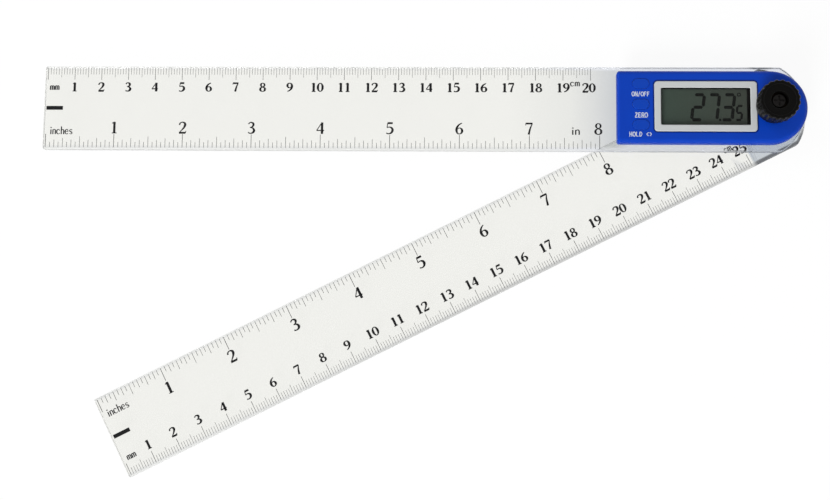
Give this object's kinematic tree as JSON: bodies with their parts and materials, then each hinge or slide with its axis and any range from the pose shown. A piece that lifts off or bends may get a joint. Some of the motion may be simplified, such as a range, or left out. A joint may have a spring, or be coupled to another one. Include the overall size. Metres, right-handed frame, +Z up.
{
  "type": "angle finder with arms",
  "caption": "Digital angle finder: two clear rulers on one pivot, with a blue display housing, keys and a lock knob that clamps the arms.",
  "frame": {"origin": "on the pivot axis, at the underside of the lower arm, where the pivot stud's head is flush with it", "axes": "+Z up along the pivot axis towards the knob, +X along the upper arm from its tip to the pivot, +Y towards the upper arm's centimetre edge"},
  "size_m": [0.279, 0.15, 0.0213],
  "materials": {
    "clear_plastic": "clear moulded acrylic, printed scales",
    "blue_plastic": "satin moulded ABS",
    "grey_plastic": "fine satin",
    "window_plastic": "clear polished",
    "black_foam": "matt foam",
    "panel_glass": "polarised display panel",
    "contact_rubber": "striped silicone",
    "board_laminate": "green solder resist",
    "black_resin": "glossy resin drop",
    "plated_steel": "nickel plated",
    "ceramic_chip": "fired ceramic",
    "spring_strip": "bright spring strip",
    "black_plastic": "satin moulded",
    "white_nylon": "natural nylon",
    "black_steel": "black oxide",
    "black_nylon": "natural nylon, dyed",
    "knob_brass": "turned"
  },
  "bodies": {
    "upper_arm": {"upper_ruler": "clear_plastic", "blue_cover": "blue_plastic", "cover_screws": "plated_steel", "circuit_board": "board_laminate", "board_screws": "plated_steel", "controller_chip": "black_resin", "timing_crystal": "plated_steel", "capacitors": "ceramic_chip", "coin_cell": "plated_steel", "battery_plus_contact": "spring_strip", "battery_minus_contact": "spring_strip", "display_bezel": "grey_plastic", "display_window": "window_plastic", "display_gasket": "black_foam", "lcd_panel": "panel_glass", "zebra_strip": "contact_rubber", "on_off_dome": "spring_strip", "zero_dome": "spring_strip", "hold_dome": "spring_strip"},
    "lower_arm": {"lower_ruler": "clear_plastic", "pivot_stud": "plated_steel", "friction_washer": "white_nylon", "rotor_ring": "board_laminate", "arm_washer": "white_nylon", "knob_screw": "black_steel"},
    "battery_door": {"battery_door": "black_plastic"},
    "on_off_key": {"on_off_key": "blue_plastic"},
    "zero_key": {"zero_key": "blue_plastic"},
    "hold_key": {"hold_key": "blue_plastic"},
    "knob_washer": {"knob_washer": "black_nylon"},
    "lock_knob": {"lock_knob": "black_plastic", "knob_insert": "knob_brass"}
  },
  "joints": [
    {"name": "arm_swing", "type": "hinge", "parent": "upper_arm", "child": "lower_arm", "pos_m": [0, 0, 0], "axis": [0, 0, 1], "continuous": true},
    {"name": "knob_lift", "type": "slide", "parent": "lower_arm", "child": "knob_washer", "axis": [0, 0, 1], "range_m": [0, 0.0007]},
    {"name": "knob_turn", "type": "hinge", "parent": "knob_washer", "child": "lock_knob", "pos_m": [0, 0, 0.0112], "axis": [0, 0, 1], "range_deg": [0, 360]},
    {"name": "battery_door_turn", "type": "hinge", "parent": "upper_arm", "child": "battery_door", "pos_m": [-0.033, 0, 0.0033], "axis": [0, 0, 1], "range_deg": [0, 45]},
    {"name": "on_off_press", "type": "slide", "parent": "upper_arm", "child": "on_off_key", "axis": [0, 0, -1], "range_m": [0, 0.0003], "stiffness_N_per_m": 3000, "springref_m": -0.00005, "deforming": ["on_off_dome"]},
    {"name": "zero_press", "type": "slide", "parent": "upper_arm", "child": "zero_key", "axis": [0, 0, -1], "range_m": [0, 0.0003], "stiffness_N_per_m": 3000, "springref_m": -0.00005, "deforming": ["zero_dome"]},
    {"name": "hold_press", "type": "slide", "parent": "upper_arm", "child": "hold_key", "axis": [0, 0, -1], "range_m": [0, 0.0003], "stiffness_N_per_m": 3000, "springref_m": -0.00005, "deforming": ["hold_dome"]}
  ],
  "couplings": [
    {"joint": "knob_turn", "follows": "knob_lift", "rad_per_m": 8976}
  ]
}
